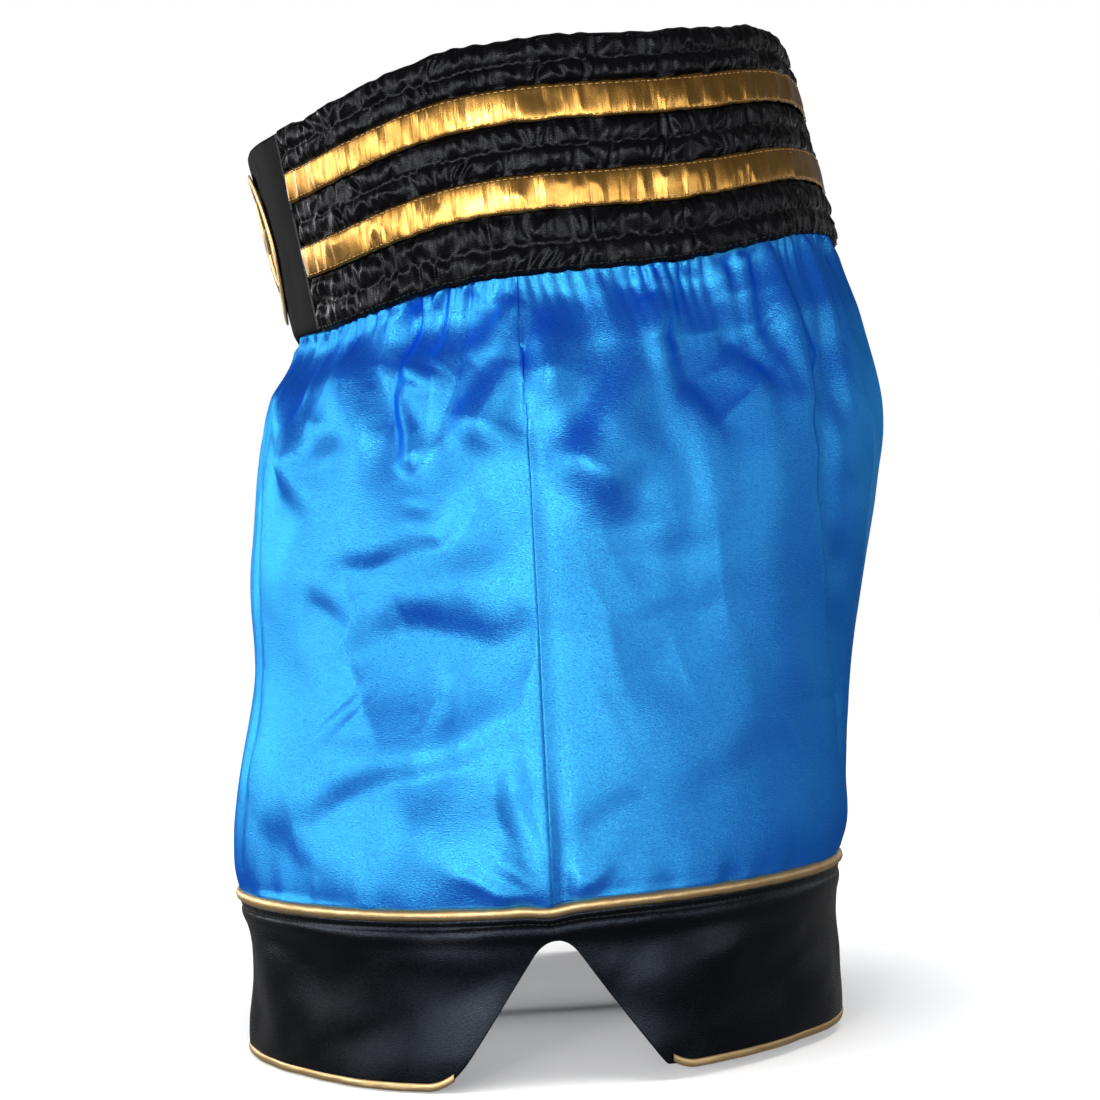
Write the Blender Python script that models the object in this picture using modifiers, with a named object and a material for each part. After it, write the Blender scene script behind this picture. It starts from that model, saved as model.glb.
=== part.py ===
"""Boxing shorts standing on their hems: ruched waistband, satin legs, banded hems with side vents.

Metres, +Z up, the front faces -Y and the wearer's left is +X. The hems rest on z = 0.
"""

import math

import bpy
import numpy as np

# waistband: a leaning oval band, wider at the back than at the front
WAIST_HALF_WIDTH = 0.142        # across, to the band's inner face
WAIST_HALF_DEPTH = 0.125        # front to back
WAIST_CENTRE_Y = 0.002
WAIST_SEAM_Z = 0.336            # seam with the legs, at the sides
BAND_HEIGHT = 0.100
BAND_TILT = math.radians(2.5)   # front lower than back
BAND_DIP = 0.047                # how far the front dips and the back rises
BAND_DIP_EASE = 0.036           # eases that off at the very front and back
BAND_NARROW = 0.118             # share of height lost at front and back
LEAN_FRONT = 0.15               # forward lean of the front, per metre of height
LEAN_BACK = 0.18
OVAL = 2.2                      # exponent of the plan: 2 is an ellipse

# layers of the band, as growth of the oval
INNER_WALL = -0.0008
ELASTIC_LAYER = 0.0012
OUTER_WALL = 0.0032
STRIPE_LAYER = 0.00425
BADGE_LAYER = 0.0046

# legs
CROTCH_Z = 0.145
PIPING_Z = 0.0725
LEG_INNER_GAP = 0.012           # inner leg to the middle plane, at the hem
FORK_POWER = 1.35
LEG_D_SHAPE = 0.45              # how far the front of a leg sits towards the middle
TILT_POWER = 1.5
OUTER_X = ((0.0, 0.178), (0.15, 0.171), (0.228, 0.165), (0.298, 0.154), (0.322, 0.148), (0.336, 0.143))
FRONT_Y = ((0.0, -0.153), (0.11, -0.1515), (0.17, -0.143), (0.228, -0.142), (0.298, -0.1335), (0.336, -0.121))
BACK_Y = ((0.0, 0.114), (0.11, 0.1215), (0.17, 0.132), (0.228, 0.146), (0.265, 0.1525), (0.3, 0.147), (0.336, 0.136))
SIDE_SEAM_Y = -0.0235
GUSSET_HALF_ANGLE = math.radians(34)
BLEND_START_Z = 0.305           # the leg fabric starts to follow the band here

# cloth and trim sizes
SATIN = 0.001
BAND_CLOTH = 0.001
HEM_CLOTH = 0.0012
STRIPE_CLOTH = 0.0005
ELASTIC_THICK = 0.0013
ELASTIC_HEIGHT = 0.013
ELASTIC_CENTRES = (0.14, 0.34, 0.53, 0.71, 0.88)
STRIPE_UPPER = (0.636, 0.790)   # shares of the band's height
STRIPE_LOWER = (0.260, 0.420)
PANEL_HALF_ANGLE = 0.485        # of the flat front panel, in radians of the oval
PIPING_RADIUS = 0.0019
BINDING_HEIGHT = 0.0036
BINDING_THICK = 0.0022
GAP = 0.0003
SEAM_GAP = 0.0009               # sewn edges that meet at an angle
CENTRE_GAP = 0.0006             # each leg's cloth to the middle plane
TUCK = 0.005                    # leg cloth that reaches up inside the band

# side vent and inner arch of the hem
VENT_HEIGHT = 0.0673
VENT_FRONT = 0.0435
VENT_BACK = 0.0490
VENT_TOP_ROUND = 0.0094
VENT_FOOT_ROUND = 0.009
ARCH_HEIGHT = 0.036
ARCH_HALF_ANGLE = math.radians(62)

# badge on the front panel
BADGE_OUTER = 0.036
BADGE_INNER = 0.0295
STAR_OUTER = 0.0245
STAR_INNER = 0.0105
BADGE_CLOTH = 0.0009

COLOURS = {
    "blue": ((0.02, 0.19, 0.68), 0.32, 0.0),
    "black": ((0.012, 0.013, 0.018), 0.34, 0.0),
    "gold": ((0.55, 0.33, 0.10), 0.34, 0.85),
    "elastic": ((0.05, 0.05, 0.055), 0.85, 0.0),
}

for old in list(bpy.data.objects):
    bpy.data.objects.remove(old, do_unlink=True)
shorts = bpy.data.collections.new("boxing_shorts")
bpy.context.scene.collection.children.link(shorts)


def power(value, exponent):
    """Sign-keeping power, which turns a circle's sine into a fuller oval's."""
    return np.sign(value) * np.abs(value) ** (2.0 / exponent)


def smooth_step(value):
    value = np.clip(value, 0.0, 1.0)
    return value * value * (3.0 - 2.0 * value)


def profile(stations, height):
    """Smooth curve through (height, value) stations: a cubic between each two, with averaged slopes."""
    heights = np.array([s[0] for s in stations])
    values = np.array([s[1] for s in stations])
    slopes = np.gradient(values, heights)
    height = np.clip(height, heights[0], heights[-1])
    place = np.clip(np.searchsorted(heights, height) - 1, 0, len(heights) - 2)
    span = heights[place + 1] - heights[place]
    f = (height - heights[place]) / span
    start, end = values[place], values[place + 1]
    rise, fall = slopes[place] * span, slopes[place + 1] * span
    return (
        (2 * f**3 - 3 * f**2 + 1) * start
        + (f**3 - 2 * f**2 + f) * rise
        + (3 * f**2 - 2 * f**3) * end
        + (f**3 - f**2) * fall
    )


def band_lift(side):
    """Height added along the oval: low at the front (side -1), high at the back (side 1)."""
    return 0.003 * side**2 + BAND_DIP * side**3 - BAND_DIP_EASE * side**5


def band_point(height, angle, grow=0.0):
    """Point on the waistband. Angle 0 is the wearer's left side and -90 degrees the front."""
    side = np.sin(angle)
    lean = np.where(side < 0, LEAN_FRONT, LEAN_BACK) * side**2
    depth = (WAIST_HALF_DEPTH + grow) * power(side, OVAL) - (height - BAND_HEIGHT / 2) * lean
    up = height * (1 - BAND_NARROW * side**2) + band_lift(side)
    x = (WAIST_HALF_WIDTH + grow) * power(np.cos(angle), OVAL)
    y = WAIST_CENTRE_Y + depth * math.cos(BAND_TILT) - up * math.sin(BAND_TILT)
    z = WAIST_SEAM_Z + depth * math.sin(BAND_TILT) + up * math.cos(BAND_TILT)
    return np.stack(np.broadcast_arrays(x, y, z), -1)


def inner_x(height):
    """Inner edge of a leg's section: an arch below the crotch, and the far side of the body above."""
    below = LEG_INNER_GAP * np.sqrt(np.clip(1 - (height / CROTCH_Z) ** 2, 0, 1))
    share = np.clip((height - CROTCH_Z) / (WAIST_SEAM_Z - CROTCH_Z), 0, 1)
    return below - WAIST_HALF_WIDTH * share**FORK_POWER


def leg_point(height, angle):
    """Point on the left leg's cloth at a nominal height, before the middle plane trims it."""
    height = np.asarray(height, float)
    outer, inner = profile(OUTER_X, height), inner_x(height)
    front, back = profile(FRONT_Y, height), profile(BACK_Y, height)
    half, middle = (outer - inner) / 2, (outer + inner) / 2
    lean = LEG_D_SHAPE * np.clip(middle / half, 0, 1)
    x = middle + half * (power(np.cos(angle), OVAL) - lean * np.sin(angle) ** 2)
    depth = (back - front) / 2 * power(np.sin(angle), OVAL)
    y = (back + front) / 2 + depth
    share = np.clip((height - PIPING_Z) / (WAIST_SEAM_Z - PIPING_Z), 0, 1) ** TILT_POWER
    z = height + (depth * math.sin(BAND_TILT) + band_lift(np.sin(angle))) * share
    cloth = np.stack(np.broadcast_arrays(x, y, z), -1)
    follow = smooth_step((height - BLEND_START_Z) / (WAIST_SEAM_Z - BLEND_START_Z))
    follow = np.broadcast_to(follow, cloth.shape[:-1])[..., None]
    band = band_point(height - WAIST_SEAM_Z, angle, ELASTIC_LAYER)
    return cloth * (1 - follow) + band * follow


def solve(test, low, high, steps=48):
    """Bisection on whole arrays: where test goes from positive at low to negative at high."""
    low = np.array(low, float)
    high = np.array(high, float)
    for _ in range(steps):
        middle = (low + high) / 2
        positive = test(middle) > 0
        low = np.where(positive, middle, low)
        high = np.where(positive, high, middle)
    return (low + high) / 2


def trim_angle(heights):
    """Angle at which the leg's section meets the middle plane, or half a turn where it stays clear."""
    start = np.full(heights.shape, math.pi / 2 - 0.3)
    end = np.full(heights.shape, math.pi)
    return solve(lambda a: leg_point(heights, a)[..., 0] - CENTRE_GAP, start, end)


def side_angle(heights, y):
    """Angle of the given y on the outer side of the leg."""
    limit = np.full(np.broadcast(heights, y).shape, math.radians(70))
    return solve(lambda a: y - leg_point(heights, a)[..., 1], -limit, limit)


def material(name, key):
    colour, roughness, metallic = COLOURS[key]
    mat = bpy.data.materials.new(name)
    mat.use_nodes = True
    shader = mat.node_tree.nodes["Principled BSDF"]
    shader.inputs["Base Color"].default_value = (*colour, 1.0)
    shader.inputs["Roughness"].default_value = roughness
    shader.inputs["Metallic"].default_value = metallic
    return mat


def cloth(name, grid, thickness, key, mirrored=False):
    """One piece of cloth: a grid of points (rows, columns) given its thickness on both sides."""
    grid = np.array(grid, float)
    if mirrored:
        grid = grid * np.array([-1.0, 1.0, 1.0])
    rows, columns = grid.shape[:2]
    index = np.arange(rows * columns).reshape(rows, columns)
    quads = np.stack([index[:-1, :-1], index[:-1, 1:], index[1:, 1:], index[1:, :-1]], -1).reshape(-1, 4)
    mesh = bpy.data.meshes.new(name)
    mesh.from_pydata(grid.reshape(-1, 3).tolist(), [], quads.tolist())
    mesh.shade_smooth()
    piece = bpy.data.objects.new(name, mesh)
    shorts.objects.link(piece)
    piece.data.materials.append(material(name + "_mat", key))
    wall = piece.modifiers.new("cloth", "SOLIDIFY")
    wall.thickness = thickness
    wall.offset = 0.0
    return piece


# crotch gusset: up the inner left leg, over the fork and down the inner right leg
panel_bottom = PIPING_Z + PIPING_RADIUS + GAP
spread = np.linspace(-GUSSET_HALF_ANGLE, GUSSET_HALF_ANGLE, 11)
gusset_angle = math.pi + spread
fork_height = solve(
    lambda h: leg_point(h, gusset_angle)[..., 0],
    np.full(spread.shape, CROTCH_Z - 0.003),
    np.full(spread.shape, 0.30),
)
climb = np.linspace(0, 1, 9)[:, None]
left_half = leg_point(panel_bottom + (fork_height - panel_bottom) * climb, gusset_angle)
left_half[-1, :, 0] = 0.0
right_half = left_half[::-1][1:] * np.array([-1.0, 1.0, 1.0])
cloth("crotch_gusset", np.concatenate([left_half, right_half]), SATIN, "blue")

# legs: front and back panels of each side, from the piping up into the waistband
corner = math.pi - GUSSET_HALF_ANGLE - SEAM_GAP / 0.09
tip = float(solve(lambda h: leg_point(h, corner)[..., 0] - CENTRE_GAP, CROTCH_Z - 0.01, 0.30))
heights = np.concatenate([
    np.linspace(panel_bottom, tip, 6),
    np.linspace(tip, BLEND_START_Z, 7)[1:],
    np.linspace(BLEND_START_Z, WAIST_SEAM_Z + TUCK, 5)[1:],
])
inner_limit = np.minimum(trim_angle(heights), corner)
seam_angle = side_angle(heights, np.full(heights.shape, SIDE_SEAM_Y))
edge = SEAM_GAP / 2 / 0.14
across = np.linspace(0, 1, 13)
front_angles = -inner_limit[:, None] + (seam_angle - edge + inner_limit)[:, None] * across
back_angles = (seam_angle + edge)[:, None] + (inner_limit - seam_angle - edge)[:, None] * across
for side, mirrored in (("left", False), ("right", True)):
    cloth("front_panel_" + side, leg_point(heights[:, None], front_angles), SATIN, "blue", mirrored)
    cloth("back_panel_" + side, leg_point(heights[:, None], back_angles), SATIN, "blue", mirrored)


def vent_edge(offset):
    """Height of the vent's edge above the hem, by distance from the side seam (front is negative)."""
    width = np.where(offset < 0, VENT_FRONT, VENT_BACK)
    away = np.abs(offset)
    slope = VENT_HEIGHT / width
    straight = VENT_HEIGHT - slope * away
    top = VENT_HEIGHT - slope * (VENT_TOP_ROUND / 2 + away**2 / (2 * VENT_TOP_ROUND))
    foot = slope * np.clip(width + VENT_FOOT_ROUND - away, 0, None) ** 2 / (4 * VENT_FOOT_ROUND)
    low = np.where(away < VENT_TOP_ROUND, top, straight)
    return np.where(away > width - VENT_FOOT_ROUND, foot, low)


def hem_arch(angle):
    """Height of the hem over the floor: an arch on the inner leg, flat elsewhere."""
    turn = np.clip((math.pi - np.abs(angle)) / ARCH_HALF_ANGLE, 0, 1)
    return ARCH_HEIGHT * np.cos(turn * math.pi / 2) ** 2


def hem_angles(sign, first):
    """Angles round one half of a leg's hem, from a distance off the side seam to the inner leg."""
    width = VENT_FRONT if sign < 0 else VENT_BACK
    vent = np.linspace(first, width + VENT_FOOT_ROUND, 12)
    near = side_angle(np.zeros(12), SIDE_SEAM_Y + sign * vent)
    last = math.pi - GAP / 2 / 0.1
    return np.concatenate([near, near[-1] + (sign * last - near[-1]) * np.linspace(0, 1, 16)[1:]])


band_top = PIPING_Z - PIPING_RADIUS - GAP
for half, sign in (("front", -1), ("back", 1)):
    angles = hem_angles(sign, SEAM_GAP / 2)
    offset = leg_point(0.0, angles)[:, 1] - SIDE_SEAM_Y
    outside = np.cos(angles) > 0.2
    lower = hem_arch(angles) + BINDING_HEIGHT + GAP
    lower = np.maximum(lower, np.where(outside, vent_edge(offset), 0.0))
    rise = np.linspace(0, 1, 3)[:, None]
    level = lower + (band_top - lower) * rise
    hem_grid = leg_point(level, np.broadcast_to(angles, level.shape))
    width = VENT_FRONT if sign < 0 else VENT_BACK
    angles = hem_angles(sign, width + 0.0005)
    base = leg_point(0.0, angles)
    base[:, 2] = hem_arch(angles)
    strip = np.stack([base, base + np.array([0.0, 0.0, BINDING_HEIGHT])])
    for side, mirrored in (("left", False), ("right", True)):
        cloth("hem_band_%s_%s" % (half, side), hem_grid, HEM_CLOTH, "black", mirrored)
        cloth("hem_binding_%s_%s" % (half, side), strip, BINDING_THICK, "gold", mirrored)

# gold piping in the seam between the legs and the hem bands: one closed ring of cord for each leg
ring = np.linspace(-math.pi, math.pi, 49)[:-1]
for side, sign in (("left", 1.0), ("right", -1.0)):
    curve = bpy.data.curves.new("leg_piping_" + side, "CURVE")
    curve.dimensions = "3D"
    curve.bevel_depth = PIPING_RADIUS
    curve.bevel_resolution = 1
    spline = curve.splines.new("POLY")
    spline.points.add(len(ring) - 1)
    for point, place in zip(spline.points, leg_point(PIPING_Z, ring[:: int(sign)])):
        point.co = (sign * place[0], place[1], PIPING_Z, 1.0)
    spline.use_cyclic_u = True
    cord = bpy.data.objects.new("leg_piping_" + side, curve)
    cord.data.materials.append(material("leg_piping_%s_mat" % side, "gold"))
    shorts.objects.link(cord)

# waistband: a folded sleeve of cloth, closed at the top and open below, round elastic bands
sleeve = (
    (OUTER_WALL - 0.0004, 0.0), (OUTER_WALL, 0.02), (OUTER_WALL, 0.05), (OUTER_WALL, 0.08),
    (OUTER_WALL - 0.0003, 0.096), (0.0018, 0.0995), (0.0006, 0.0995), (INNER_WALL + 0.0003, 0.096),
    (INNER_WALL, 0.07), (INNER_WALL, 0.035), (INNER_WALL, 0.003),
)
grow = np.array([s[0] for s in sleeve])[:, None]
level = np.array([s[1] for s in sleeve])[:, None]
front_middle = -math.pi / 2
edge = SEAM_GAP / 0.14
band_start = front_middle + PANEL_HALF_ANGLE + edge
band_end = front_middle - PANEL_HALF_ANGLE - edge + 2 * math.pi
around = np.linspace(band_start, band_end, 41)
cloth("waistband_shell", band_point(level, around, grow), BAND_CLOTH, "black")
flat = np.linspace(front_middle - PANEL_HALF_ANGLE, front_middle + PANEL_HALF_ANGLE, 13)
cloth("waistband_front_panel", band_point(level, flat, grow), BAND_CLOTH, "black")

for number, share in enumerate(ELASTIC_CENTRES, 1):
    level = share * BAND_HEIGHT + ELASTIC_HEIGHT / 2 * np.array([[-1.0], [1.0]])
    strip = band_point(level, around, ELASTIC_LAYER)
    cloth("waist_elastic_%d" % number, strip, ELASTIC_THICK, "elastic")
for name, (low, high) in (("upper", STRIPE_UPPER), ("lower", STRIPE_LOWER)):
    level = BAND_HEIGHT * np.array([[low], [high]])
    cloth("gold_stripe_" + name, band_point(level, around, STRIPE_LAYER), STRIPE_CLOTH, "gold")


def badge_point(x, up, grow):
    """Point on the front panel, by distance across and up from the middle of the panel."""
    reach = np.clip(np.abs(x) / (WAIST_HALF_WIDTH + grow), 0, 1) ** (OVAL / 2)
    angle = front_middle + np.sign(x) * np.arcsin(reach)
    return band_point(BAND_HEIGHT / 2 + up / (1 - BAND_NARROW), angle, grow)


turn = np.linspace(0, 2 * math.pi, 41)[:-1]
ring_radii = np.array([[BADGE_INNER], [BADGE_OUTER]])
points = badge_point(ring_radii * np.sin(turn), ring_radii * np.cos(turn), BADGE_LAYER)
ring_mesh = bpy.data.meshes.new("badge_ring")
count = len(turn)
faces = [(i, (i + 1) % count, count + (i + 1) % count, count + i) for i in range(count)]
ring_mesh.from_pydata(points.reshape(-1, 3).tolist(), [], faces)
tips = 5
turn = np.arange(2 * tips) * math.pi / tips
radius = np.where(np.arange(2 * tips) % 2 == 0, STAR_OUTER, STAR_INNER)
points = badge_point(radius * np.sin(turn), radius * np.cos(turn), BADGE_LAYER)
centre = badge_point(np.zeros(1), np.zeros(1), BADGE_LAYER)
star_mesh = bpy.data.meshes.new("badge_star")
faces = [(0, 1 + i, 1 + (i + 1) % (2 * tips)) for i in range(2 * tips)]
star_mesh.from_pydata(np.concatenate([centre, points]).tolist(), [], faces)
for name, mesh in (("badge_ring", ring_mesh), ("badge_star", star_mesh)):
    badge = bpy.data.objects.new(name, mesh)
    shorts.objects.link(badge)
    badge.data.materials.append(material(name + "_mat", "gold"))
    wall = badge.modifiers.new("cloth", "SOLIDIFY")
    wall.thickness = BADGE_CLOTH
    wall.offset = 0.0
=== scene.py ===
import math

import bpy
import numpy as np
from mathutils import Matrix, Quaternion, Vector


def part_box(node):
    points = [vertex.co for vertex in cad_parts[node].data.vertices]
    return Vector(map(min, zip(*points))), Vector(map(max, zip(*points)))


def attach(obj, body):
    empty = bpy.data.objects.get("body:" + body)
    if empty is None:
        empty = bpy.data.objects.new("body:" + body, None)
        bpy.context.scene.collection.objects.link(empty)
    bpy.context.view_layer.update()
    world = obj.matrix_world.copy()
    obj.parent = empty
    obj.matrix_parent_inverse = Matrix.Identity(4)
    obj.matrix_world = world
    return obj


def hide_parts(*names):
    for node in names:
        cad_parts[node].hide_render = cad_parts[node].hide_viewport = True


# Boxing shorts standing on their hems, in metres. The front faces -Y, the wearer's left is +X.
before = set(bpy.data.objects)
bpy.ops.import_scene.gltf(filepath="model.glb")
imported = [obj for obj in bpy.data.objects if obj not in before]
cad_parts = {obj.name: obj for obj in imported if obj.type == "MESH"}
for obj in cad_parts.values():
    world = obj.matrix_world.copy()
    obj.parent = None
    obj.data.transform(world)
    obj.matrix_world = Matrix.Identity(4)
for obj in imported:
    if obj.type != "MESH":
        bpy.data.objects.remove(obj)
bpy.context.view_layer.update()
body = "root"
mm = 0.001
mirror = np.array([-1.0, 1.0, 1.0])
print("frame loaded,", len(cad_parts), "nodes")

# the cut of the shorts

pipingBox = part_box("leg_piping_left")
pipingZ = (pipingBox[0].z + pipingBox[1].z) / 2
pipingRadius = (pipingBox[1].z - pipingBox[0].z) / 2

waist = {
    "halfWidth": 0.142, "halfDepth": 0.125, "centreY": 0.002, "seamZ": 0.336, "height": 0.100,
    "tilt": math.radians(2.5), "dip": 0.047, "dipEase": 0.036, "narrow": 0.118,
    "leanFront": 0.15, "leanBack": 0.18, "oval": 2.2,
    "panelHalfAngle": 0.485,     # half of the flat front panel, in radians of the oval
    "stripeUpper": (0.636, 0.790), "stripeLower": (0.260, 0.420),    # shares of the height
    "stitchLines": (0.125, 0.250, 0.430, 0.530, 0.628, 0.798, 0.885),
}
legs = {
    "crotchZ": 0.145, "innerGap": 0.012, "fork": 1.35, "dShape": 0.45, "tiltPower": 1.5,
    "blendStart": 0.305, "seamY": -0.0235, "gussetHalf": math.radians(34), "tuck": 0.005,
    "outerX": ((0.0, 0.178), (0.15, 0.171), (0.228, 0.165), (0.298, 0.154), (0.322, 0.148), (0.336, 0.143)),
    "frontY": ((0.0, -0.153), (0.11, -0.1515), (0.17, -0.143), (0.228, -0.142), (0.298, -0.1335),
               (0.336, -0.121)),
    "backY": ((0.0, 0.114), (0.11, 0.1215), (0.17, 0.132), (0.228, 0.146), (0.265, 0.1525), (0.3, 0.147),
              (0.336, 0.136)),
}
elasticLayer = 0.0012
legRadius, bandRadius = 0.13, 0.14      # metres of cloth to one radian, roughly


def power(value, exponent):
    # sign-keeping power: the sine of a circle becomes the side of a fuller oval
    return np.sign(value) * np.abs(value) ** (2.0 / exponent)


def smoothStep(value):
    value = np.clip(value, 0.0, 1.0)
    return value * value * (3.0 - 2.0 * value)


def bump(distance, width):
    # bell curve, 1 at no distance
    return np.exp(-((distance / width) ** 2))


def profile(stations, height):
    # cubic Hermite curve through (height, value) stations, with averaged slopes
    heights = np.array([s[0] for s in stations])
    values = np.array([s[1] for s in stations])
    slopes = np.gradient(values, heights)
    height = np.clip(height, heights[0], heights[-1])
    place = np.clip(np.searchsorted(heights, height) - 1, 0, len(heights) - 2)
    span = heights[place + 1] - heights[place]
    f = (height - heights[place]) / span
    return ((2 * f**3 - 3 * f**2 + 1) * values[place] + (f**3 - 2 * f**2 + f) * slopes[place] * span
            + (3 * f**2 - 2 * f**3) * values[place + 1] + (f**3 - f**2) * slopes[place + 1] * span)


def bandLift(side):
    # the band is low at the front (side -1) and high at the back (side 1)
    return 0.003 * side**2 + waist["dip"] * side**3 - waist["dipEase"] * side**5


def bandPoint(height, angle, grow=0.0):
    # oval ring: x from cosine, depth from sine, leaning outwards with height; then tilted about X
    side = np.sin(angle)
    lean = np.where(side < 0, waist["leanFront"], waist["leanBack"]) * side**2
    depth = (waist["halfDepth"] + grow) * power(side, waist["oval"]) - (height - waist["height"] / 2) * lean
    up = height * (1 - waist["narrow"] * side**2) + bandLift(side)
    x = (waist["halfWidth"] + grow) * power(np.cos(angle), waist["oval"])
    y = waist["centreY"] + depth * math.cos(waist["tilt"]) - up * math.sin(waist["tilt"])
    z = waist["seamZ"] + depth * math.sin(waist["tilt"]) + up * math.cos(waist["tilt"])
    return np.stack(np.broadcast_arrays(x, y, z), -1)


def innerX(height):
    # inner edge of a leg's section: an arch below the crotch, the far side of the body above it
    below = np.clip(1 - (height / legs["crotchZ"]) ** 2, 0, 1)
    below = legs["innerGap"] * (np.sqrt(below + 0.02) - math.sqrt(0.02)) * 1.1
    share = np.clip((height - legs["crotchZ"]) / (waist["seamZ"] - legs["crotchZ"]), 0, 1)
    return below - waist["halfWidth"] * share ** legs["fork"]


def legPoint(height, angle):
    # oval section between the outer, inner, front and back profiles, blended into the band at the top
    height = np.asarray(height, float)
    outer, inner = profile(legs["outerX"], height), innerX(height)
    front, back = profile(legs["frontY"], height), profile(legs["backY"], height)
    half, middle = (outer - inner) / 2, (outer + inner) / 2
    lean = legs["dShape"] * np.clip(middle / half, 0, 1)
    x = middle + half * (power(np.cos(angle), waist["oval"]) - lean * np.sin(angle) ** 2)
    depth = (back - front) / 2 * power(np.sin(angle), waist["oval"])
    y = (back + front) / 2 + depth
    share = np.clip((height - pipingZ) / (waist["seamZ"] - pipingZ), 0, 1) ** legs["tiltPower"]
    z = height + (depth * math.sin(waist["tilt"]) + bandLift(np.sin(angle))) * share
    cloth = np.stack(np.broadcast_arrays(x, y, z), -1)
    follow = smoothStep((height - legs["blendStart"]) / (waist["seamZ"] - legs["blendStart"]))
    follow = np.broadcast_to(follow, cloth.shape[:-1])[..., None]
    return cloth * (1 - follow) + bandPoint(height - waist["seamZ"], angle, elasticLayer) * follow


def solve(test, low, high, steps=48):
    # bisection on whole arrays, where test goes from positive at low to negative at high
    low, high = np.array(low, float), np.array(high, float)
    for _ in range(steps):
        middle = (low + high) / 2
        positive = test(middle) > 0
        low, high = np.where(positive, middle, low), np.where(positive, high, middle)
    return (low + high) / 2


def trimAngle(heights, clear=0.0002):
    # angle at which the leg's section meets the middle plane, or half a turn where it stays clear
    start, end = np.full(heights.shape, math.pi / 2 - 0.3), np.full(heights.shape, math.pi)
    return solve(lambda a: legPoint(heights, a)[..., 0] - clear, start, end)


def sideAngle(heights, y):
    # angle of the given y on the outer side of the leg
    limit = np.full(np.broadcast(heights, y).shape, math.radians(70))
    return solve(lambda a: y - legPoint(heights, a)[..., 1], -limit, limit)


def grid2(table, rowAt, columnAt):
    # bilinear reading of a table at fractional rows and columns
    rowAt = np.clip(rowAt, 0, table.shape[0] - 1.001)
    columnAt = np.clip(columnAt, 0, table.shape[1] - 1.001)
    r, c = np.floor(rowAt).astype(int), np.floor(columnAt).astype(int)
    fr, fc = rowAt - r, columnAt - c
    return ((table[r, c] * (1 - fc) + table[r, c + 1] * fc) * (1 - fr)
            + (table[r + 1, c] * (1 - fc) + table[r + 1, c + 1] * fc) * fr)


# distance along the cloth from the side seam, front negative, for any height and angle of a leg
reachHeights = np.linspace(-0.004, 0.345, 88)
reachAngles = np.linspace(-math.pi, math.pi, 721)
ringPoints = legPoint(reachHeights[:, None], reachAngles[None, :])
ringSteps = np.linalg.norm(np.diff(ringPoints, axis=1), axis=-1)
reachTable = np.concatenate([np.zeros((len(reachHeights), 1)), np.cumsum(ringSteps, 1)], 1)
seamAngles = sideAngle(reachHeights, np.full(reachHeights.shape, legs["seamY"]))
seamColumns = (seamAngles + math.pi) / (2 * math.pi) * 720
reachTable -= grid2(reachTable, np.arange(len(reachHeights)), seamColumns)[:, None]


def reachOf(height, angle):
    height, angle = np.broadcast_arrays(height, angle)
    rowAt = (height - reachHeights[0]) / (reachHeights[-1] - reachHeights[0]) * (len(reachHeights) - 1)
    return grid2(reachTable, rowAt, (angle + math.pi) / (2 * math.pi) * 720)


def runOf(path):
    # length along a path of points
    return np.concatenate([[0], np.cumsum(np.linalg.norm(np.diff(path, axis=0), axis=-1))])


# length along the waistband from the middle of the front, for any angle from there round to there
arcAngles = np.linspace(-math.pi / 2, 1.5 * math.pi, 1441)
arcTable = runOf(bandPoint(waist["height"] / 2, arcAngles, 0.003))


def bandArc(angle):
    return np.interp(angle, arcAngles, arcTable)


def noise(across, up, seed):
    # value noise from -1 to 1: random numbers on a lattice, joined by smooth steps
    across, up = np.broadcast_arrays(np.asarray(across, float), np.asarray(up, float))
    lattice = np.random.RandomState(seed).uniform(-1, 1, (128, 128))
    c, r = np.floor(across).astype(int), np.floor(up).astype(int)
    fc, fr = smoothStep(across - c), smoothStep(up - r)
    c, r = c % 128, r % 128
    c1, r1 = (c + 1) % 128, (r + 1) % 128
    return ((lattice[r, c] * (1 - fc) + lattice[r, c1] * fc) * (1 - fr)
            + (lattice[r1, c] * (1 - fc) + lattice[r1, c1] * fc) * fr)


def nearest(across, up, points):
    # in mm: share along a line through points, distance from it, side of it from 1 (above or left) to -1
    steps = [math.dist(a, b) for a, b in zip(points, points[1:])]
    best, done = None, 0.0
    for (ax, ay), (bx, by), step in zip(points, points[1:], steps):
        dx, dy = (bx - ax) / step, (by - ay) / step
        t = np.clip((across - ax) * dx + (up - ay) * dy, 0, step)
        away = np.hypot(across - ax - t * dx, up - ay - t * dy)
        over = (dx * (up - ay) - dy * (across - ax)) / (away + 0.001)
        found = ((done + t) / sum(steps), away, over)
        if best is not None:
            found = [np.where(away < best[1], new, old) for new, old in zip(found, best)]
        best = found
        done += step
    return best


# meshes

def addObject(name, data):
    made = bpy.data.objects.new(name, data)
    bpy.context.scene.collection.objects.link(made)
    return made


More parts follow.
